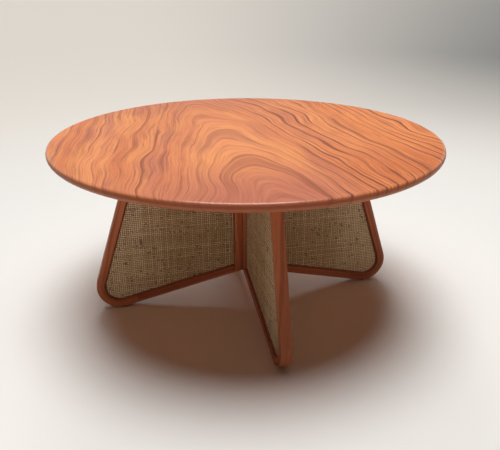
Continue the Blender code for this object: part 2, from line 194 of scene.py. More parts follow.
def round_the_hub(part, material, node):
    """Finish a piece of the +X fin, and copy it to all four, each with its own mesh, in place of a node."""
    part.data.materials.append(material)
    for fin, degrees in FINS.items():
        copy = part.copy()
        copy.data = part.data.copy()
        copy.name = f"{fin}_{part.name}"
        copy.data.name = copy.name
        copy.data.transform(Matrix.Rotation(math.radians(degrees), 4, "Z"))
        bpy.context.scene.collection.objects.link(copy)
        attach(copy, "root")
        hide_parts(f"{fin}_{node}")
    bpy.data.objects.remove(part)


def connect(node, inputs):
    """Link each input of a node that is given a socket, and set each that is given a value."""
    for name, value in inputs.items():
        if isinstance(value, bpy.types.NodeSocket):
            node.id_data.links.new(value, node.inputs[name])
        else:
            node.inputs[name].default_value = value


def place(tree, kind, inputs=None, **settings):
    """Add a node with its settings and inputs. The tree may also be given by a socket in it."""
    made = tree.id_data.nodes.new(kind)
    for name, value in settings.items():
        setattr(made, name, value)
    connect(made, inputs or {})
    return made


def calc(operation, *values):
    """A sum on numbers, of which one or more vary over the surface."""
    varying = next(value for value in values if isinstance(value, bpy.types.NodeSocket))
    return place(varying, "ShaderNodeMath", dict(enumerate(values)), operation=operation).outputs[0]


def times(first, second):
    """The product of two numbers."""
    return calc("MULTIPLY", first, second)


def vector_calc(operation, *values):
    """A sum on vectors. A length and a dot product give a number."""
    made = place(values[0], "ShaderNodeVectorMath", dict(enumerate(values)), operation=operation)
    return made.outputs["Value" if operation in ("LENGTH", "DOT_PRODUCT") else "Vector"]


def axes(vector):
    """The X, Y and Z of a vector."""
    made = place(vector, "ShaderNodeSeparateXYZ", {0: vector})
    return [made.outputs[axis] for axis in "XYZ"]


def object_spot(tree):
    """Where a point lies on the object, in metres."""
    return place(tree, "ShaderNodeTexCoord").outputs["Object"]


def stored(tree, name):
    """A vector that the mesh holds at each point."""
    return place(tree, "ShaderNodeAttribute", attribute_name=name).outputs["Vector"]


def noise(vector, cell, detail=2.0, roughness=0.5, output="Fac"):
    """Noise whose features have about the given size, in metres along each axis."""
    cells = vector_calc("MULTIPLY", vector, tuple(1.0 / c for c in cell))
    made = place(cells, "ShaderNodeTexNoise", {"Vector": cells, "Scale": 1.0, "Detail": detail,
                                               "Roughness": roughness})
    return made.outputs[output]


def eased(value, low, high, to_low=0.0, to_high=1.0):
    """A value from low to high, brought smoothly to between two ends. The ranges below list these in turn."""
    return place(value, "ShaderNodeMapRange", {"Value": value, "From Min": low, "From Max": high,
                                               "To Min": to_low, "To Max": to_high},
                 interpolation_type="SMOOTHSTEP").outputs["Result"]


def overlap(*shares):
    """The product of values that are each eased over a range of their own."""
    product = None
    for value, reach in shares:
        share = eased(value, *reach)
        product = share if product is None else times(product, share)
    return product


def mix(share, first, second):
    """A colour between two colours."""
    factor, colour_a, colour_b, result = 0, 6, 7, 2
    made = place(share, "ShaderNodeMix", {factor: share, colour_a: first, colour_b: second}, data_type="RGBA")
    return made.outputs[result]


def dress(shader, colour, roughness, height, relief):
    """Give a shader its colour and roughness, and a relief of a strength and a depth in metres."""
    strength, depth = relief
    bump = place(height, "ShaderNodeBump", {"Height": height, "Strength": strength, "Distance": depth})
    connect(shader, {"Base Color": colour, "Roughness": roughness, "Normal": bump.outputs["Normal"]})


def group(name, inputs, outputs):
    """An empty shader node group with named sockets: its tree, its input node and its output node."""
    tree = bpy.data.node_groups.new(name, "ShaderNodeTree")
    for socket, kind in inputs.items():
        tree.interface.new_socket(socket, in_out="INPUT", socket_type=f"NodeSocket{kind}")
    for socket, kind in outputs.items():
        tree.interface.new_socket(socket, in_out="OUTPUT", socket_type=f"NodeSocket{kind}")
    return tree, tree.nodes.new("NodeGroupInput"), tree.nodes.new("NodeGroupOutput")


def timber_figure():
    """Growth rings and fibres. Ring counts the rings, and Grain is metres along, across and through."""
    drift_per_ring, band_per_ring = 0.7, 0.43
    late_range, early_range = (0.66, 0.95), (0.95, 1.0, 1.0, 0.0)
    strength_range, fade_range = (0.05, 0.85, 0.18, 1.0), (0.38, 0.58, 0.35, 1.0)
    fade_cell, fibre_cell, pore_cell = (0.24, 0.05, 0.24), (0.05, 0.0013, 0.0013), (0.011, 0.0007, 0.0007)
    pore_range = (0.62, 0.74)
    fibre_lift, line_sink, pore_sink = 0.4, 0.35, 0.5
    names = ("Line", "Band", "Fibre", "Pores", "Height")
    tree, inside, outside = group("timber_figure", {"Ring": "Float", "Grain": "Vector"},
                                  {name: "Float" for name in names})
    ring, grain = inside.outputs["Ring"], inside.outputs["Grain"]
    drift = place(tree, "ShaderNodeTexNoise", {"W": ring, "Scale": drift_per_ring, "Detail": 1.0},
                  noise_dimensions="1D").outputs["Fac"]
    ring = calc("ADD", ring, drift)
    number = calc("FLOOR", ring)
    into_ring = calc("FRACT", ring)
    strength = place(tree, "ShaderNodeTexWhiteNoise", {"W": number}, noise_dimensions="1D").outputs["Value"]
    along = noise(grain, fade_cell, detail=1.0)
    line = times(overlap((into_ring, late_range), (into_ring, early_range)),
                 overlap((strength, strength_range), (along, fade_range)))
    band = place(tree, "ShaderNodeTexNoise", {"W": ring, "Scale": band_per_ring, "Detail": 2.0},
                 noise_dimensions="1D").outputs["Fac"]
    fibre = noise(grain, fibre_cell, detail=3.0)
    pores = eased(noise(grain, pore_cell, detail=1.0), *pore_range)
    height = calc("SUBTRACT", times(fibre, fibre_lift), times(line, line_sink))
    height = calc("SUBTRACT", height, times(pores, pore_sink))
    connect(outside, dict(zip(names, (line, band, fibre, pores, height))))
    return tree


TIMBER_FIGURE = timber_figure()


def figured(ring, grain):
    """The timber figure for a count of rings and a lie of the grain."""
    return place(ring, "ShaderNodeGroup", {"Ring": ring, "Grain": grain}, node_tree=TIMBER_FIGURE).outputs


def new_material(name):
    """A material with nodes: itself, its tree and its shader."""
    material = bpy.data.materials.new(name)
    material.use_nodes = True
    return material, material.node_tree, material.node_tree.nodes["Principled BSDF"]


def frame_timber():
    """Oiled red-brown hardwood with straight grain, darker in its late wood, with painted shade towards the
    floor and on the flat outer face of the foot stile.
    """
    pale, deep, late = (0.59, 0.190, 0.078, 1), (0.290, 0.078, 0.032, 1), (0.14, 0.032, 0.013, 1)
    ring_width, ring_tilt = 0.0058, (0.0, 0.8, 0.6)
    wander_cell, wander_rings = (0.26, 0.03, 0.03), 2.6
    piece_cell, piece_rings = (0.9, 0.9, 0.9), 16.0
    band_range, fibre_range, satin_range = (0.3, 0.7), (0.35, 0.75, 0.0, 0.3), (0.2, 0.8, 0.50, 0.36)
    line_share, pore_share = 0.7, 0.5
    low_shade_range = (0.03, 0.20, 0.42, 0.0)
    outer_face_shade_range = (FOOT_RADIUS - 0.0025, FOOT_RADIUS - 0.0006, 0.0, 0.42)
    outer_end_range = (FOOT_RADIUS + 0.004, FOOT_RADIUS + 0.002)
    relief, gloss = (0.35, 0.0006), 0.15
    material, tree, shader = new_material("frame_timber")
    grain, where = stored(tree, "grain"), object_spot(tree)
    across = vector_calc("DOT_PRODUCT", grain, tuple(tilt / ring_width for tilt in ring_tilt))
    ring = calc("ADD", across, times(noise(grain, wander_cell), wander_rings))
    ring = calc("ADD", ring, times(noise(where, piece_cell, detail=0.0), piece_rings))
    figure = figured(ring, grain)
    colour = mix(eased(figure["Band"], *band_range), deep, pale)
    colour = mix(times(figure["Line"], line_share), colour, late)
    colour = mix(times(figure["Pores"], pore_share), colour, late)
    colour = mix(eased(figure["Fibre"], *fibre_range), colour, pale)
    # Painted shade: the timber is darkened towards the floor, where less light reaches.
    low_shade = eased(axes(where)[2], *low_shade_range)
    # Painted shade: the flat outer face of the foot stile is darkened, while its rounded arrises stay
    # lighter.
    out = axes(grain)[1]
    outer_face_shade = overlap((out, outer_face_shade_range), (out, outer_end_range))
    colour = mix(calc("MAXIMUM", low_shade, outer_face_shade), colour, late)
    satin = eased(figure["Fibre"], *satin_range)
    dress(shader, colour, satin, figure["Height"], relief)
    connect(shader, {"Specular IOR Level": gloss})
    return material


FRAME_TIMBER = frame_timber()


def bent_grain(co):
    """Metres along and across the outer stile, whose grain follows it round the foot."""
    from_foot = Vector((co.x, 0.0, co.z)) - foot
    bend = FOOT_RADIUS - frame_width / 2
    if from_foot.dot(UP_WAY) >= 0 and from_foot.dot(OUT_WAY) > 0:
        return from_foot.dot(UP_WAY), from_foot.dot(OUT_WAY), co.y
    if from_foot.dot(HUB_WAY) >= 0 and from_foot.dot(DOWN_WAY) > 0:
        return -FOOT_SWEEP * bend - from_foot.dot(HUB_WAY), from_foot.dot(DOWN_WAY), co.y
    turn = (LEAN - math.atan2(from_foot.z, from_foot.x)) % math.tau
    return -turn * bend, from_foot.length, co.y


run_end = foot + DOWN_WAY * FOOT_RADIUS + HUB_WAY * FOOT_RUN
stile = grooved_section(foot + OUT_WAY * FOOT_RADIUS, -OUT_WAY, frame_width)
extrude(UP_WAY * (fin_top - foot_seat) / math.cos(LEAN))
bend_round_foot(stile, FOOT_RUN)
cut_off(AXIS_Z * fin_top, AXIS_Z)
cut_off(AXIS_Z * foot_seat, -AXIS_Z)
ease_arrises(stile, [(AXIS_Z * fin_top, AXIS_Z), (run_end, HUB_WAY)])
close_shape(stile, "foot_stile")
lay_grain(stile, bent_grain)
round_the_hub(stile, FRAME_TIMBER, "outer_stile")

# Inner stiles
# The upright member of each fin stands against the post. It is grooved for the panel and the rails, and
# slotted at the back for the loose key, and its foot is sawn along the fin's rising bottom edge.
key_low, key_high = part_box("right_hub_key")


def sink(part, wanted, depth):
    """Sink the wanted faces of the open piece straight in."""
    pick(part, "FACE", wanted)
    bpy.ops.mesh.inset(thickness=0.0, depth=-depth, use_individual=True)


def straight_grain(along, across):
    """Grain that runs straight along a member."""
    return lambda co: (co.dot(along), co.dot(across), co.y)


bottom_edge = foot + DOWN_WAY * FOOT_RADIUS
hub_stile = grooved_section(Vector((hub_stile_low.x, 0.0, fin_top)), AXIS_X, frame_width)
extrude(AXIS_Z * (foot_seat - fin_top))
cut_off(bottom_edge, DOWN_WAY)
ease_arrises(hub_stile, [(AXIS_Z * fin_top, AXIS_Z)])
split(AXIS_Y, key_low.y - FIT, key_high.y + FIT)
split(AXIS_Z, key_low.z - FIT, key_high.z + FIT)
sink(hub_stile, lambda f: (abs(middle(f).x - hub_stile_low.x) < NEAR and abs(middle(f).y) < key_high.y
                           and key_low.z < middle(f).z < key_high.z), key_high.x + FIT - hub_stile_low.x)
close_shape(hub_stile, "hub_stile")
lay_grain(hub_stile, straight_grain(AXIS_Z, AXIS_X))
round_the_hub(hub_stile, FRAME_TIMBER, "inner_stile")

# Bottom rails
# A rail of the same hardwood rises from the foot to the inner stile, grooved above for the panel. The ends
# of both rails are plain here: their tenons, which the stiles hide, are left to the CAD.
inner_face = AXIS_X * (hub_stile_high.x + FIT)
rail_start = run_end + HUB_WAY * FIT
sill = grooved_section(rail_start, -DOWN_WAY, frame_width)
extrude(HUB_WAY * foot.x)
cut_off(inner_face, -AXIS_X)
ease_arrises(sill, [(rail_start, HUB_WAY), (inner_face, AXIS_X)])
close_shape(sill, "sill_rail")
lay_grain(sill, straight_grain(HUB_WAY, DOWN_WAY))
round_the_hub(sill, FRAME_TIMBER, "bottom_rail")

# Top rails
# A deeper rail lies level under the top, grooved below. A round recess in its upper edge takes one lobe
# of the plate that holds the top.
PLATE_LOBE = 0.009
LOBE_SIDES = 40
head_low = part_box("right_top_rail")[0]
plate_low, plate_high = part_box("right_top_fastener")
lobe = Vector(((plate_low.x + plate_high.x) / 2, plate_low.y + PLATE_LOBE, 0.0))


def boolean_cut(part, cutter):
    """Take the cutter's shape out of a piece, and drop the cutter."""
    cut = part.modifiers.new("cut", "BOOLEAN")
    cut.object = cutter
    bpy.context.view_layer.objects.active = part
    bpy.ops.object.modifier_apply(modifier="cut")
    bpy.data.objects.remove(cutter)


lean_face = foot + OUT_WAY * (FOOT_RADIUS - frame_width - FIT)
head = grooved_section(inner_face + AXIS_Z * fin_top, -AXIS_Z, fin_top - head_low.z)
extrude(AXIS_X * foot.x)
cut_off(lean_face, OUT_WAY)
ease_arrises(head, [(inner_face, AXIS_X), (lean_face, OUT_WAY), (AXIS_Z * fin_top, AXIS_Z)])
close_shape(head, "head_rail")
recess_depth = plate_high.z - plate_low.z + 2 * FIT
recess = start(bpy.ops.mesh.primitive_cylinder_add, vertices=LOBE_SIDES, radius=PLATE_LOBE + FIT,
               depth=2 * recess_depth, location=(lobe.x, lobe.y, fin_top))
bpy.ops.object.mode_set(mode="OBJECT")
boolean_cut(head, recess)
lay_grain(head, straight_grain(AXIS_X, AXIS_Z))
round_the_hub(head, FRAME_TIMBER, "top_rail")

# Hub post and keys
# A square post of the same hardwood fills the crossing. Loose tongues, let half into it and half into
# the inner stiles, keep the four fins in line.
POST_EASE = 0.0006
POST_EASE_STEPS = 2
UPRIGHT = 0.5
post_low, post_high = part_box("hub_post")
post_height = post_high.z - post_low.z
post = start(bpy.ops.mesh.primitive_cube_add, (2 * post_high.x, 2 * post_high.y, post_height), size=1.0,
             location=(0.0, 0.0, post_low.z + post_height / 2))
pick(post, "EDGE", lambda e: abs(middle(e).z - post_high.z) > NEAR)
round_over(POST_EASE, POST_EASE_STEPS)
for axis in (AXIS_X, AXIS_Y):
    split(axis, key_low.y - FIT, key_high.y + FIT)
split(AXIS_Z, key_low.z - FIT, key_high.z + FIT)
sink(post, lambda f: (abs(f.normal.z) < UPRIGHT and min(abs(middle(f).x), abs(middle(f).y)) < NEAR
                      and key_low.z < middle(f).z < key_high.z), post_high.x - key_low.x + FIT)
close_shape(post, "crossing_post")
lay_grain(post, straight_grain(AXIS_Z, AXIS_X))
post.data.materials.append(FRAME_TIMBER)
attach(post, "root")
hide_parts("hub_post")


def refinish(node, material):
    """Give a node of each fin, whose shape stays, a better finish."""
    for fin in FINS:
        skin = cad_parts[f"{fin}_{node}"]
        skin.data.materials.clear()
        skin.data.materials.append(material)


def key_timber():
    """Unfinished hardwood tongue, sawn along its length."""
    pale, dark = (0.36, 0.20, 0.105, 1), (0.22, 0.105, 0.05, 1)
    saw_cell, tone_range, rough_range = (0.0012, 0.0012, 0.05), (0.3, 0.7), (0.3, 0.7, 0.72, 0.60)
    relief = (0.4, 0.0004)
    material, tree, shader = new_material("key_timber")
    saw = noise(object_spot(tree), saw_cell, detail=3.0)
    colour = mix(eased(saw, *tone_range), dark, pale)
    dress(shader, colour, eased(saw, *rough_range), saw, relief)
    return material


refinish("hub_key", key_timber())

# Panel boards
# A thin brown fibreboard, cut to the fin's opening, sits in the grooves of the frame and backs both woven
# faces. It shows only between the yarns.


def pressed_board():
    """Brown pressed fibreboard, matt, with flecks of fibre."""
    dark, pale = (0.035, 0.020, 0.011, 1), (0.085, 0.050, 0.027, 1)
    fleck_cell, tone_range, rough_range = (0.0025, 0.0025, 0.0025), (0.35, 0.68), (0.3, 0.7, 0.92, 0.80)
    relief = (0.3, 0.0003)
    material, tree, shader = new_material("pressed_board")
    fleck = noise(object_spot(tree), fleck_cell, detail=4.0, roughness=0.6)
    colour = mix(eased(fleck, *tone_range), dark, pale)
    dress(shader, colour, eased(fleck, *rough_range), fleck, relief)
    return material


refinish("panel_board", pressed_board())

# Woven faces
# Each face of a panel is a sheet of coarse jute in plain weave, stretched over the board and held round
# its edge. The yarns are hand spun, so they vary in width, wander a little and have dark slubs.
YARN_PITCH = 0.0048
YARN_WIDTH = 0.0031
YARN_THICKNESS = 0.0008
YARN_SIDES = 4
YARN_WANDER = 0.00016
YARN_SPREAD = 0.09
THINNEST, THICKEST = 0.7, 1.35
SLUBS_PER_YARN = 0.5
SLUB_STEPS, SLUB_SWELL = 7, 1.28
EDGE_TUCK = 0.0012
STRIP_MARGIN = 0.1
weave_low, weave_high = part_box("right_weave_a")
sheet_middle = (weave_low.y + weave_high.y) / 2
wave = (weave_high.y - weave_low.y - YARN_THICKNESS) / 2


def opening(inset):
    """The frame's opening, moved in by an inset, as points of (X, Z) from the hub's upper corner."""
    reach = FOOT_RADIUS - frame_width - inset
    hub_x, head_z = hub_stile_high.x + inset, head_low.z - inset
    lean_top = foot + OUT_WAY * reach
    lean_top += UP_WAY * (head_z - lean_top.z) / UP_WAY.z
    sill_end = foot + DOWN_WAY * reach
    sill_end += HUB_WAY * (hub_x - sill_end.x) / HUB_WAY.x
    angles = [LEAN - FOOT_SWEEP * i / FOOT_STEPS for i in range(FOOT_STEPS + 1)]
    arc = [(foot.x + reach * math.cos(a), foot.z + reach * math.sin(a)) for a in angles]
    return np.array([(hub_x, head_z), (lean_top.x, head_z), *arc, (hub_x, sill_end.z)])


def span(outline, axis, at):
    """Where a line at one coordinate enters and leaves the outline, in the other coordinate."""
    a, b = outline, np.roll(outline, -1, axis=0)
    crossed = (a[:, axis] - at) * (b[:, axis] - at) < 0
    a, b = a[crossed], b[crossed]
    share = (at - a[:, axis]) / (b[:, axis] - a[:, axis])
    ends = a[:, 1 - axis] + share * (b[:, 1 - axis] - a[:, 1 - axis])
    return (ends.min(), ends.max()) if len(ends) else (0.0, 0.0)


def yarns(outline, chance):
    """Each yarn of a face as its axis, its tone and rows of (along, aside, through, half width) points."""
    corner = outline.min(axis=0)
    for axis in (0, 1):
        count = int((outline[:, axis].max() - corner[axis]) / YARN_PITCH)
        for number in range(count):
            at = corner[axis] + (number + 0.5) * YARN_PITCH
            spans = [span(outline, axis, at + side * YARN_WIDTH / 2) for side in (-1, 1)]
            low, high = max(s[0] for s in spans), min(s[1] for s in spans)
            if high - low < 2 * YARN_PITCH:
                continue
            first, last = (int((end - corner[1 - axis]) / YARN_PITCH * 2 - 0.5) for end in (low, high))
            steps = np.arange(first + 1, last + 1)
            along = np.concatenate([[low], corner[1 - axis] + (steps + 0.5) * YARN_PITCH / 2, [high]])
            steps = np.concatenate([[first], steps, [last + 1]])
            over = 1 - 2 * ((steps // 2 + number + axis) % 2)
            aside = at + YARN_WANDER * chance.standard_normal(len(steps))
            thick = 1 + YARN_SPREAD * chance.standard_normal(len(steps))
            for slub in chance.integers(0, len(steps), chance.poisson(SLUBS_PER_YARN)):
                thick[slub:slub + SLUB_STEPS] *= SLUB_SWELL
            wide = YARN_WIDTH / 2 * np.clip(thick, THINNEST, THICKEST)
            yield axis, chance.random(), np.stack([along, aside, wave * over, wide], axis=1)


def woven_face(name, side, seed):
    """One sheet as a closed four-sided tube for each yarn, with a strip of its own on the map."""
    spots, faces, strands, uvs = [], [], [], []
    cloth = list(yarns(opening(EDGE_TUCK), np.random.default_rng(seed)))
    longest = max(rows[-1, 0] - rows[0, 0] for _, _, rows in cloth)
    total = 0
    for strip, (axis, tone, rows) in enumerate(cloth):
        along, aside, through, wide = rows.T
        flat = np.zeros_like(along)
        thin = np.full_like(along, YARN_THICKNESS / 2)
        ring_aside = np.stack([aside + wide, aside, aside - wide, aside], axis=1)
        ring_through = np.stack([through, through + thin, through, through - thin], axis=1)
        ring_along = np.repeat(along[:, None], YARN_SIDES, axis=1)
        pair = (ring_along, ring_aside) if axis else (ring_aside, ring_along)
        spots.append(np.stack([pair[0], sheet_middle * side + ring_through, pair[1]], axis=2).reshape(-1, 3))
        across = np.stack([flat + 1, flat, flat - 1, flat], axis=1)
        strand = np.stack([np.full_like(across, tone), ring_along, across], axis=2)
        strands.append(strand.reshape(-1, 3))
        ring = total + YARN_SIDES * np.arange(len(rows))
        u = (along - along[0]) / longest
        for corner in range(YARN_SIDES):
            here, there = ring + corner, ring + (corner + 1) % YARN_SIDES
            quads = np.stack([here[:-1], there[:-1], there[1:], here[1:]], axis=1)
            faces.append(quads if axis else quads[:, ::-1])
            low, high = ((strip + (corner + edge) / YARN_SIDES) / len(cloth)
                         for edge in (STRIP_MARGIN, 1 - STRIP_MARGIN))
            corners = np.stack([u[:-1], flat[1:] + low, u[:-1], flat[1:] + high,
                                u[1:], flat[1:] + high, u[1:], flat[1:] + low], axis=1).reshape(-1, 4, 2)
            uvs.append(corners if axis else corners[:, ::-1])
        ends = np.array([ring[0] + np.arange(YARN_SIDES)[::-1], ring[-1] + np.arange(YARN_SIDES)])
        faces.append(ends if axis else ends[:, ::-1])
        uvs.append(np.array([[[end, strip / len(cloth)]] * YARN_SIDES for end in (u[0], u[-1])]))
        total += YARN_SIDES * len(rows)
    mesh = bpy.data.meshes.new(name)
    mesh.from_pydata(np.concatenate(spots), [], np.concatenate(faces))
    mesh.shade_smooth()
    stored_strand = mesh.attributes.new("strand", "FLOAT_VECTOR", "POINT")
    stored_strand.data.foreach_set("vector", np.concatenate(strands).ravel())
    mesh.uv_layers.new(name="OFBake").data.foreach_set("uv", np.concatenate(uvs).ravel())
    sheet = bpy.data.objects.new(name, mesh)
    bpy.context.scene.collection.objects.link(sheet)
    return sheet


def from_axis(where):
    """How far a point lies from the table's upright axis, in metres."""
    return vector_calc("LENGTH", vector_calc("MULTIPLY", where, (1.0, 1.0, 0.0)))


def jute_yarn():
    """Dry olive-brown jute. Each yarn has its own tone, fine fibres and some dark stretches, with painted
    shade darkening its flanks and painted light that makes it paler away from the hub.
    """
    shade, light, dark = (0.58, 0.356, 0.152, 1), (0.96, 0.720, 0.428, 1), (0.08, 0.042, 0.018, 1)
    patch_cell, fibre_cell, dusk_cell = (0.004, 0.045, 50.0), (0.05, 0.0011, 0.35), (0.08, 0.08, 0.08)
    slub_cell, slub_range, slub_share = (0.0017, 0.022, 50.0), (0.61, 0.72), 0.75
    stretch_cell, stretch_range = (0.0031, 0.05, 50.0), (0.74, 0.80)
    flank_shade_range, outward_light_range = (0.30, 0.95, 0.0, 0.56), (0.16, 0.38, -0.05, 0.42)
    tone_share, patch_share, dusk_share = 0.38, 0.45, 0.25
    light_range, fibre_range, rough_range = (0.31, 0.92), (0.42, 0.70, 0.0, 0.45), (0.3, 0.7, 0.92, 0.74)
    relief = (0.6, 0.0003)
    sheen, sheen_roughness = 0.15, 0.5
    material, tree, shader = new_material("jute_yarn")
    strand, where = stored(tree, "strand"), object_spot(tree)
    tone, _, across = axes(strand)
    # Painted shade: each yarn is darkened towards its flanks, where it dips between its neighbours.
    flank_shade = eased(calc("ABSOLUTE", across), *flank_shade_range)
    patch = noise(strand, patch_cell)
    fibre = noise(strand, fibre_cell, detail=3.0, roughness=0.6)
    dusk = noise(where, dusk_cell)
    slub = eased(noise(strand, slub_cell, detail=1.0), *slub_range)
    stretch = eased(noise(strand, stretch_cell, detail=0.0), *stretch_range)
    slub = calc("MAXIMUM", slub, stretch)
    # Painted light: the yarns are paler further from the hub, where more light reaches under the top.
    outward_light = eased(from_axis(where), *outward_light_range)
    share = calc("ADD", times(tone, tone_share), times(patch, patch_share))
    share = calc("ADD", calc("ADD", share, outward_light), times(dusk, dusk_share))
    colour = mix(eased(share, *light_range), shade, light)
    colour = mix(times(slub, slub_share), colour, dark)
    colour = mix(flank_shade, colour, dark)
    colour = mix(eased(fibre, *fibre_range), colour, dark)
    dress(shader, colour, eased(fibre, *rough_range), fibre, relief)
    connect(shader, {"Sheen Weight": sheen, "Sheen Roughness": sheen_roughness})
    return material


JUTE_YARN = jute_yarn()
cut = opening(FIT)
for order, (fin, degrees) in enumerate(FINS.items()):
    for letter, side in {"a": 1, "b": -1}.items():
        sheet = woven_face(f"{fin}_woven_face_{letter}", side, [order, side + 1])
        sheet.data.transform(Matrix.Rotation(math.radians(degrees), 4, "Z"))
        sheet.data.materials.append(JUTE_YARN)
        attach(sheet, "root")
        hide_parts(f"{fin}_weave_{letter}")

# Reeds
# A thin half-round reed, stained red-brown, is laid round the edge of each woven face in three lengths
# with mitred corners. One length runs down the outer stile, round the foot and along the bottom rail.
REED_SIDES = 14
REED_WIDTH = 0.003
HEAD_HUB, HEAD_LEAN, SILL_HUB = 0, 1, -1
reed_low, reed_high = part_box("right_spline_a")
reed_height = reed_high.y - reed_low.y
near_line, far_line = opening(FIT), opening(FIT + REED_WIDTH)


def reed_section(edge, inward, side):
    """The half-round end of a reed against the frame, standing up from the woven face."""
    sole = AXIS_Y * side * reed_low.y
    part = start(bpy.ops.mesh.primitive_circle_add, (REED_WIDTH / 2, reed_height, 1.0), vertices=REED_SIDES,
                 radius=1.0, fill_type="NGON", location=edge + inward * REED_WIDTH / 2 + sole,
                 rotation=(0.0, math.atan2(-inward.z, inward.x), 0.0))
    bpy.ops.mesh.bisect(plane_co=sole, plane_no=AXIS_Y * -side, use_fill=False, clear_outer=True)
    bpy.ops.mesh.select_mode(type="FACE")
    bpy.ops.mesh.select_all(action="SELECT")
    return part


def on_fin(spot):
    """A point of (X, Z) on the middle plane of the fin."""
    return Vector((spot[0], 0.0, spot[1]))


def mitre(corner, keep):
    """Saw the open reed along a corner's mitre, and keep the end that reaches towards a point."""
    a, b = on_fin(near_line[corner]), on_fin(far_line[corner])
    normal = (b - a).cross(AXIS_Y).normalized()
    cut_off(a, normal if (keep - a).dot(normal) < 0 else -normal)


def reed(name, side):
    """The three lengths of reed round one face, as one piece."""
    reach = FOOT_RADIUS - frame_width - FIT
    long_reed = reed_section(foot + OUT_WAY * reach, -OUT_WAY, side)
    extrude(UP_WAY * fin_top)
    bend_round_foot(long_reed, foot.x)
    mitre(HEAD_LEAN, foot)
    mitre(SILL_HUB, foot)
    close_shape(long_reed, name)
    lay_grain(long_reed, bent_grain)
    lengths = [long_reed]
    hub_corner = on_fin(near_line[HEAD_HUB])
    for inward, way, far in ((AXIS_X, AXIS_Z, SILL_HUB), (-AXIS_Z, AXIS_X, HEAD_LEAN)):
        length = reed_section(hub_corner - way * fin_top, inward, side)
        extrude(way * 2 * fin_top)
        halfway = (hub_corner + on_fin(near_line[far])) / 2
        mitre(HEAD_HUB, halfway)
        mitre(far, halfway)
        close_shape(length, name)
        lay_grain(length, straight_grain(way, inward))
        lengths.append(length)
    bpy.ops.object.select_all(action="DESELECT")
    for length in lengths:
        length.select_set(True)
    bpy.context.view_layer.objects.active = long_reed
    bpy.ops.object.join()
    long_reed.name = name
    return long_reed


def stained_reed():
    """Split reed stained red-brown, paler where the stain has not taken along its fibres."""
    dark, pale = (0.18, 0.050, 0.022, 1), (0.29, 0.088, 0.040, 1)
    fibre_cell, tone_range, rough_range = (0.03, 0.0005, 0.0005), (0.45, 0.72), (0.3, 0.7, 0.62, 0.48)
    relief = (0.4, 0.0002)
    material, tree, shader = new_material("stained_reed")
    fibre = noise(stored(tree, "grain"), fibre_cell, detail=3.0)
    colour = mix(eased(fibre, *tone_range), dark, pale)
    dress(shader, colour, eased(fibre, *rough_range), fibre, relief)
    return material


STAINED_REED = stained_reed()
for letter, side in {"a": 1, "b": -1}.items():
    edging = reed(f"reed_{letter}", side)
    round_the_hub(edging, STAINED_REED, f"spline_{letter}")

# Foot glides
# A moulded nylon glide is pressed into the flat under each foot. It has a rounded rim and a shallow dish
# in its sole.
GLIDE_SIDES = 48
GLIDE_RIM = 0.0009
GLIDE_RIM_STEPS = 4
GLIDE_DISH = 0.0004
GLIDE_PIN = 0.0025
SOLE_MARGIN = 0.35
FACING = 0.9
DISC_CORNERS = 8
glide_radius = (glide_high.x - glide_low.x) / 2
glide_thick = foot_seat - FIT - glide_low.z


def moulded_nylon():
    """Dark brown nylon, satin, with the fine grain of the mould and scuffs on the sole."""
    dark, worn = (0.020, 0.016, 0.014, 1), (0.060, 0.050, 0.043, 1)
    mould_cell, scuff_cell = (0.0006, 0.0006, 0.0006), (0.006, 0.0016, 0.004)
    scuff_range, rough_range = (0.52, 0.75), (0.0, 1.0, 0.45, 0.70)
    relief = (0.25, 0.0001)
    material, tree, shader = new_material("moulded_nylon")
    where = object_spot(tree)
    mould = noise(where, mould_cell)
    scuff = eased(noise(where, scuff_cell, detail=4.0), *scuff_range)
    colour = mix(scuff, dark, worn)
    dress(shader, colour, eased(scuff, *rough_range), mould, relief)
    return material


glide = start(bpy.ops.mesh.primitive_cylinder_add, vertices=GLIDE_SIDES, radius=glide_radius,
              depth=glide_thick, location=(foot.x, 0.0, glide_low.z + glide_thick / 2))
pick(glide, "EDGE", lambda e: (abs(e.verts[0].co.z - e.verts[1].co.z) < NEAR and len(e.link_faces) == 2
                               and e.calc_face_angle(0.0) > SHARP and middle(e).z < glide_low.z + NEAR))
round_over(GLIDE_RIM, GLIDE_RIM_STEPS)
pick(glide, "FACE", lambda f: f.normal.z < -FACING and len(f.verts) > DISC_CORNERS)
bpy.ops.mesh.inset(thickness=glide_radius * SOLE_MARGIN)
bpy.ops.mesh.inset(thickness=GLIDE_RIM, depth=-GLIDE_DISH)
pick(glide, "FACE", lambda f: f.normal.z > FACING and len(f.verts) > DISC_CORNERS)
bpy.ops.mesh.inset(thickness=glide_radius - GLIDE_PIN)
extrude(AXIS_Z * (glide_high.z - glide_low.z - glide_thick))
close_shape(glide, "nylon_glide")
round_the_hub(glide, moulded_nylon(), "foot_glide")

# Tabletop
# The top is one round slab of the same hardwood, flat sawn, so that its rings run in long arches down the
# middle and close up to straight lines at the sides. Its edge is rounded, more below than above, and it is
# oiled satin.
TOP_SIDES = 320
TOP_EDGE_BAND = 0.001
TOP_UPPER_ROUND = 0.0065
TOP_EDGE_STEPS = 9
TOP_MARGIN = 0.004
top_low, top_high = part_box("tabletop")
top_radius = top_high.x
top_thick = top_high.z - top_low.z


def swayed(vector, where, cell, sway, detail):
    """A vector pushed about by a cloud of noise, by up to half the sway in metres along each axis."""
    centred = vector_calc("ADD", noise(where, cell, detail, output="Color"), (-0.5, -0.5, -0.5))
    return vector_calc("ADD", vector, vector_calc("MULTIPLY", centred, sway))


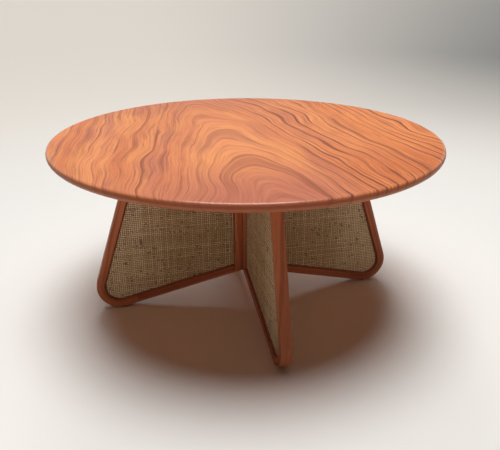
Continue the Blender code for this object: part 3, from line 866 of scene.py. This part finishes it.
def arched_rings(where):
    """The swayed X and Y, the way off the heart line, the count of rings, and the lie of the grain."""
    long_cell, long_sway = (0.17, 0.26, 0.17), (0.085, 0.05, 0.02)
    short_cell, short_sway = (0.05, 0.10, 0.05), (0.012, 0.007, 0.003)
    heart_x, heart_turn, heart_depth = -0.052, 0.02, 0.070
    taper_range, taper_reach = (-0.06, 0.10, 0.17, 0.27), 0.22
    ring_start, ring_reach, ring_growth, ring_count = 0.14, 0.54, 1.6, 14.5
    wavy = swayed(where, where, long_cell, long_sway, detail=1.0)
    wavy = swayed(wavy, where, short_cell, short_sway, detail=2.0)
    x, y, z = axes(wavy)
    off_heart = calc("SUBTRACT", calc("SUBTRACT", x, heart_x), times(y, heart_turn))
    depth = calc("SUBTRACT", top_high.z + heart_depth, z)
    squares = calc("ADD", times(off_heart, off_heart), times(depth, depth))
    aside = calc("DIVIDE", off_heart, taper_reach)
    fade = calc("ADD", times(aside, aside), 1.0)
    arch = calc("DIVIDE", times(y, eased(off_heart, *taper_range)), fade)
    ring_place = calc("ADD", calc("SQRT", squares), arch)
    ring_share = calc("MAXIMUM", calc("ADD", ring_place, ring_start), 0.0)
    ring_share = calc("DIVIDE", ring_share, ring_reach)
    ring = times(calc("POWER", ring_share, ring_growth), ring_count)
    grain = place(where, "ShaderNodeCombineXYZ", {0: y, 1: ring_place, 2: x}).outputs[0]
    return x, y, off_heart, ring, grain


def top_timber():
    """Flat-sawn hardwood: arched rings about a heart line, with orange, pink and brown bands."""
    pale, warm, gold = (0.835, 0.290, 0.104, 1), (0.69, 0.198, 0.067, 1), (0.89, 0.345, 0.096, 1)
    pink, late, oil_and_shade = (0.54, 0.159, 0.086, 1), (0.22, 0.038, 0.009, 1), (0.28, 0.080, 0.028, 1)
    amber, russet = (0.88, 0.252, 0.047, 1), (0.60, 0.130, 0.024, 1)
    # Ranges named for a place, such as right or heart, fade an effect over that part of the top.
    fine_rings, fine_right, fine_heart = 2.6, (0.0, 0.24, 0.36, 1.15), (0.05, 0.18, 0.66, 0.36)
    line_heart, line_left = (0.04, 0.16, 0.36, 1.0), (-0.16, -0.06, 0.78, 1.0)
    line_right = (0.05, 0.20, 1.0, 1.5)
    band_range, band_heart = (0.34, 0.64), (0.05, 0.18, 0.42, 0.0)
    glow_cell, glow_range = (0.22, 0.030, 0.22), (0.48, 0.64, 0.0, 0.42)
    pink_cell, pink_range = (0.30, 0.045, 0.30), (0.47, 0.64, 0.0, 0.75)
    pink_right, pink_heart = (0.10, 0.28, 1.0, 0.40), (0.05, 0.17, 0.55, 1.0)
    front_pink_shade_range, back_range = (-0.16, -0.40, 0.0, 0.96), (0.22, 0.44, 0.0, 0.55)
    front_heart, front_right = (0.08, 0.26, 1.0, 0.45), (0.06, 0.24, 1.0, 0.10)
    amber_right, corner_right, corner_front = (0.10, 0.34, 0.0, 0.65), (0.04, 0.24), (-0.08, -0.30)
    streak_cell, streak_range = (0.09, 0.0026, 0.05), (0.46, 0.72, 0.0, 0.45)
    streak_heart = (0.04, 0.18, 0.60, 1.0)
    painted_glint_range, painted_glint_right = (0.44, 0.28, 0.0, 0.6), (0.0, 0.24, 0.30, 1.15)
    corner_share, pore_share, oil_and_shade_share, shaded_belly_share = 0.68, 0.25, 0.74, 0.45
    rim_range, oil_and_shade_range = (0.008, 0.005), (0.0012, 0.0045)
    shaded_belly_start, shaded_belly_end = (0.0045, 0.0075), (0.0125, 0.0095)
    polish_range, polish_roughness = (0.0035, 0.0015, 0.0, 0.62), 0.16
    satin_range, gloss = (0.2, 0.8, 0.46, 0.36), 0.2
    relief = (0.25, 0.0006)
    material, tree, shader = new_material("top_timber")
    where = object_spot(tree)
    x, y, off_heart, ring, grain = arched_rings(where)
    heart_side = calc("ABSOLUTE", off_heart)
    figure = figured(ring, grain)
    fine = figured(times(ring, fine_rings), grain)

    # The bands of the wood, pink in patches and along the front and back, and amber towards the right. The
    # pink along the front is partly painted shade, darkening the front of the top.
    band = calc("MAXIMUM", eased(figure["Band"], *band_range), eased(heart_side, *band_heart))
    colour = mix(band, warm, pale)
    glow = place(tree, "ShaderNodeSeparateColor", {0: noise(grain, glow_cell, output="Color")})
    colour = mix(eased(glow.outputs["Green"], *glow_range), colour, gold)
    patch = noise(grain, pink_cell)
    tone = overlap((patch, pink_range), (off_heart, pink_right), (heart_side, pink_heart))
    # Painted shade along with the pink tone: the front of the top is darkened, less so towards the right.
    near_heart = calc("MINIMUM", eased(heart_side, *front_heart), eased(off_heart, *front_right))
    tone = calc("MAXIMUM", tone, times(eased(y, *front_pink_shade_range), near_heart))
    tone = calc("MAXIMUM", tone, eased(y, *back_range))
    colour = mix(tone, colour, pink)
    colour = mix(eased(x, *amber_right), colour, amber)
    corner = overlap((x, corner_right), (y, corner_front))
    colour = mix(times(corner, corner_share), colour, russet)

    # Streaks, growth lines and pores, calmer about the heart and stronger towards the right, where painted
    # glints of gold run along the grain.
    streak = noise(grain, streak_cell)
    streaked = overlap((streak, streak_range), (heart_side, streak_heart))
    colour = mix(streaked, colour, late)
    # Painted glints: bright gold flecks along the grain towards the right, standing in for light caught by
    # the fibres.
    painted_glint = overlap((streak, painted_glint_range), (x, painted_glint_right))
    colour = mix(painted_glint, colour, gold)
    fine_share = calc("MAXIMUM", eased(x, *fine_right), eased(heart_side, *fine_heart))
    colour = mix(times(fine["Line"], fine_share), colour, late)
    calm = overlap((heart_side, line_heart), (off_heart, line_left), (off_heart, line_right))
    colour = mix(times(figure["Line"], calm), colour, late)
    colour = mix(times(figure["Pores"], pore_share), colour, late)

    # The rounded edge is darker below its upper arris, partly from the oil it takes up and partly as painted
    # shade, and its upper arris is polished by hands.
    from_edge = calc("SUBTRACT", top_radius, from_axis(where))
    below_face = calc("SUBTRACT", top_high.z, axes(where)[2])
    rim = eased(from_edge, *rim_range)
    # Painted shade with oil: the rim below the upper arris is darkened.
    edge = times(rim, eased(below_face, *oil_and_shade_range))
    colour = mix(times(edge, oil_and_shade_share), colour, oil_and_shade)
    # Painted shade: a darker band round the widest part of the rim, where it faces sideways.
    shaded_belly = overlap((below_face, shaded_belly_start), (below_face, shaded_belly_end))
    colour = mix(times(times(rim, shaded_belly), shaded_belly_share), colour, late)
    satin = eased(figure["Fibre"], *satin_range)
    dress(shader, colour, satin, figure["Height"], relief)
    polish = times(rim, eased(below_face, *polish_range))
    connect(shader, {"Coat Weight": polish, "Coat Roughness": polish_roughness, "Specular IOR Level": gloss})
    return material


top = start(bpy.ops.mesh.primitive_cylinder_add, vertices=TOP_SIDES, radius=top_radius, depth=top_thick,
            location=(0.0, 0.0, top_low.z + top_thick / 2))
lower_round = top_thick - TOP_EDGE_BAND - TOP_UPPER_ROUND
for level, rounding in ((top_high.z, TOP_UPPER_ROUND), (top_low.z, lower_round)):
    pick(top, "EDGE", lambda e: all(abs(v.co.z - level) < NEAR for v in e.verts))
    round_over(rounding, TOP_EDGE_STEPS)
pick(top, "FACE", lambda f: len(f.verts) > DISC_CORNERS)
bpy.ops.mesh.inset(thickness=TOP_MARGIN, use_individual=True)
close_shape(top, "solid_top")
top.data.materials.append(top_timber())
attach(top, "root")
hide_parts("tabletop")

# Plates and screws
# Zinc-plated figure-eight plates, let into the top rails, hold the top on and let it move with the
# seasons. Each has one countersunk screw down into the rail and one up into the top.
SCREW_SIDES = 32
SHANK_RADIUS = 0.0018
SCREW_POINT, POINT_SHARE = 0.003, 0.08
SLOT_WIDTH = 0.0009
SLOT_LENGTH = 0.0042
SLOT_DEPTH = 0.0011
top_screw_low, top_screw_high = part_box("right_top_screw")
screw_middle = (top_screw_low + top_screw_high) / 2
head_radius = (top_screw_high.x - top_screw_low.x) / 2
head_depth = head_radius - SHANK_RADIUS
shank_low, shank_high = top_screw_low.z + head_depth, top_screw_high.z - SCREW_POINT


def zinc_plate():
    """Zinc-plated steel: bluish grey, clouded, with fine rolling marks."""
    bright, dull = (0.60, 0.60, 0.58, 1), (0.42, 0.43, 0.43, 1)
    cloud_cell, rolled_cell = (0.004, 0.004, 0.004), (0.012, 0.0004, 0.0004)
    tone_range, rough_range = (0.35, 0.65), (0.3, 0.7, 0.46, 0.30)
    relief = (0.15, 0.0001)
    material, tree, shader = new_material("zinc_plate")
    where = object_spot(tree)
    cloud = noise(where, cloud_cell, detail=3.0)
    rolled = noise(where, rolled_cell)
    colour = mix(eased(cloud, *tone_range), dull, bright)
    dress(shader, colour, eased(cloud, *rough_range), rolled, relief)
    connect(shader, {"Metallic": 1.0})
    return material


ZINC_PLATE = zinc_plate()
refinish("top_fastener", ZINC_PLATE)
refinish("rail_screw", ZINC_PLATE)

screw = start(bpy.ops.mesh.primitive_cylinder_add, vertices=SCREW_SIDES, radius=SHANK_RADIUS,
              depth=shank_high - shank_low,
              location=(screw_middle.x, screw_middle.y, (shank_low + shank_high) / 2))
pick(screw, "FACE", lambda f: f.normal.z > FACING)
extrude(AXIS_Z * SCREW_POINT)
bpy.ops.transform.resize(value=(POINT_SHARE, POINT_SHARE, 1.0))
pick(screw, "FACE", lambda f: f.normal.z < -FACING)
extrude(-AXIS_Z * head_depth)
bpy.ops.transform.resize(value=(head_radius / SHANK_RADIUS, head_radius / SHANK_RADIUS, 1.0))
close_shape(screw, "top_screw_driven")
for turn in (0.0, math.pi / 2):
    blade = start(bpy.ops.mesh.primitive_cube_add, (SLOT_LENGTH, SLOT_WIDTH, 2 * SLOT_DEPTH), size=1.0,
                  location=(screw_middle.x, screw_middle.y, top_screw_low.z), rotation=(0.0, 0.0, turn))
    bpy.ops.object.mode_set(mode="OBJECT")
    boolean_cut(screw, blade)
round_the_hub(screw, ZINC_PLATE, "top_screw")

# Studio
# A wide floor of pale paper, darkened towards the far right as painted shade, lies under a soft overhead sky
# and a round softbox. A low glow behind the table, a low fill before it and a weak warm surround complete the
# light, and the camera looks down on it a little from the front.
FLOOR_RADIUS, FLOOR_SIDES = 40.0, 128
FLOOR_NEAR, FLOOR_FAR = 0.8, 2.7
FLOOR_COLOUR = (0.925, 0.915, 0.88, 1)
# The far-right colour is painted shade: the paper darkens there as light falls off.
FAR_LEFT, FAR_RIGHT_SHADE = (0.94, 0.888, 0.818, 1), (0.264, 0.270, 0.268, 1)
HORIZON_START, HORIZON_FULL = 0.4 * FLOOR_RADIUS, 0.9 * FLOOR_RADIUS
HORIZON_PAPER = (0.957, 0.873, 0.789, 1)
SKY_COLOUR = (0.74, 0.675, 0.61, 1)
FILL_COLOUR, FILL_STRENGTH = (1.0, 0.66, 0.42, 1), 0.03
# Each sky has a strength, a colour, and its spread, height and bearing in degrees.
SKIES = {"overhead_sky": (1.98, (1.0, 1.0, 1.0), 36, 87, 0),
         "back_glow": (0.48, (1.0, 1.0, 1.0), 22, 39, 10),
         "front_fill": (0.33, (1.0, 0.93, 0.85), 16, 6, 180)}
# Only a sky above this height is mirrored in the finishes.
HIGH_SKY = math.radians(80)
LAMP_PLACE, LAMP_DIAMETER, LAMP_POWER = (0.02, 0.02, 2.6), 1.9, 18.0
FOCAL_PIXELS, FRAME_PIXELS, SENSOR_WIDTH = 606.53, 500, 36.0
CAMERA_PLACE = (-0.30074, -1.35727, 0.77312)
CAMERA_PITCH, CAMERA_YAW = math.radians(22.855), math.radians(-12.865)

ahead = Vector((-math.sin(CAMERA_YAW), math.cos(CAMERA_YAW), 0.0))
aside = ahead.cross(AXIS_Z)
floor = start(bpy.ops.mesh.primitive_circle_add, vertices=FLOOR_SIDES, radius=FLOOR_RADIUS, fill_type="NGON")
bpy.ops.mesh.inset(thickness=FLOOR_RADIUS - FLOOR_FAR)
bpy.ops.object.mode_set(mode="OBJECT")
floor.name = "studio_floor"


def studio_paper():
    """Matt paper, pale by the table and darkened towards the far right as painted shade, with a faint tooth.
    """
    bearing_range, distance_range, away_range = (-0.25, 0.70), (0.5 * FLOOR_NEAR, 5.6), (0.0, 1.4)
    least_away = 0.1
    tooth_cell, rough_range, gloss = (0.002, 0.002, 0.002), (0.3, 0.7, 0.95, 0.85), 0.05
    material, tree, shader = new_material("studio_paper")
    where = object_spot(tree)
    distance = vector_calc("LENGTH", where)
    to_right = vector_calc("DOT_PRODUCT", where, aside)
    away = vector_calc("DOT_PRODUCT", where, ahead)
    bearing = calc("DIVIDE", to_right, calc("MAXIMUM", away, least_away))
    turn = overlap((bearing, bearing_range), (distance, distance_range), (away, away_range))
    far = mix(turn, FAR_LEFT, FAR_RIGHT_SHADE)
    colour = mix(eased(distance, FLOOR_NEAR, FLOOR_FAR), FLOOR_COLOUR, far)
    colour = mix(eased(distance, HORIZON_START, HORIZON_FULL), colour, HORIZON_PAPER)
    tooth = eased(noise(where, tooth_cell), *rough_range)
    connect(shader, {"Base Color": colour, "Roughness": tooth, "Specular IOR Level": gloss})
    return material


floor.data.materials.append(studio_paper())

for name, (strength, colour, *degrees) in SKIES.items():
    spread, height, bearing = map(math.radians, degrees)
    bpy.ops.object.light_add(type="SUN")
    sun = bpy.context.object
    sun.name = name
    sun.data.angle = spread
    sun.data.energy = strength
    sun.data.color = colour
    sun.visible_glossy = height > HIGH_SKY
    level = ahead * math.cos(bearing) - aside * math.sin(bearing)
    source = level * math.cos(height) + AXIS_Z * math.sin(height)
    sun.rotation_euler = (-source).to_track_quat("-Z", "Y").to_euler()

bpy.ops.object.light_add(type="AREA", location=LAMP_PLACE)
lamp = bpy.context.object
lamp.name = "overhead_softbox"
lamp.data.shape = "DISK"
lamp.data.size = LAMP_DIAMETER
lamp.data.energy = LAMP_POWER

world = bpy.data.worlds.new("studio_world")
bpy.context.scene.world = world
world.use_nodes = True
surround = world.node_tree
fill = surround.nodes["Background"]
connect(fill, {"Color": FILL_COLOUR, "Strength": FILL_STRENGTH})
backdrop = place(surround, "ShaderNodeBackground", {"Color": SKY_COLOUR, "Strength": 1.0})
path = place(surround, "ShaderNodeLightPath").outputs
seen = calc("MAXIMUM", path["Is Camera Ray"], path["Is Glossy Ray"])
seen = calc("MAXIMUM", seen, path["Is Transmission Ray"])
blend = place(surround, "ShaderNodeMixShader", {0: seen, 1: fill.outputs[0], 2: backdrop.outputs[0]})
connect(surround.nodes["World Output"], {"Surface": blend.outputs[0]})

bpy.ops.object.camera_add(location=CAMERA_PLACE, rotation=(math.pi / 2 - CAMERA_PITCH, 0.0, CAMERA_YAW))
camera = bpy.context.object
camera.data.sensor_width = SENSOR_WIDTH
camera.data.lens = SENSOR_WIDTH * FOCAL_PIXELS / FRAME_PIXELS
bpy.context.scene.camera = camera
bpy.context.scene.view_settings.view_transform = "Standard"
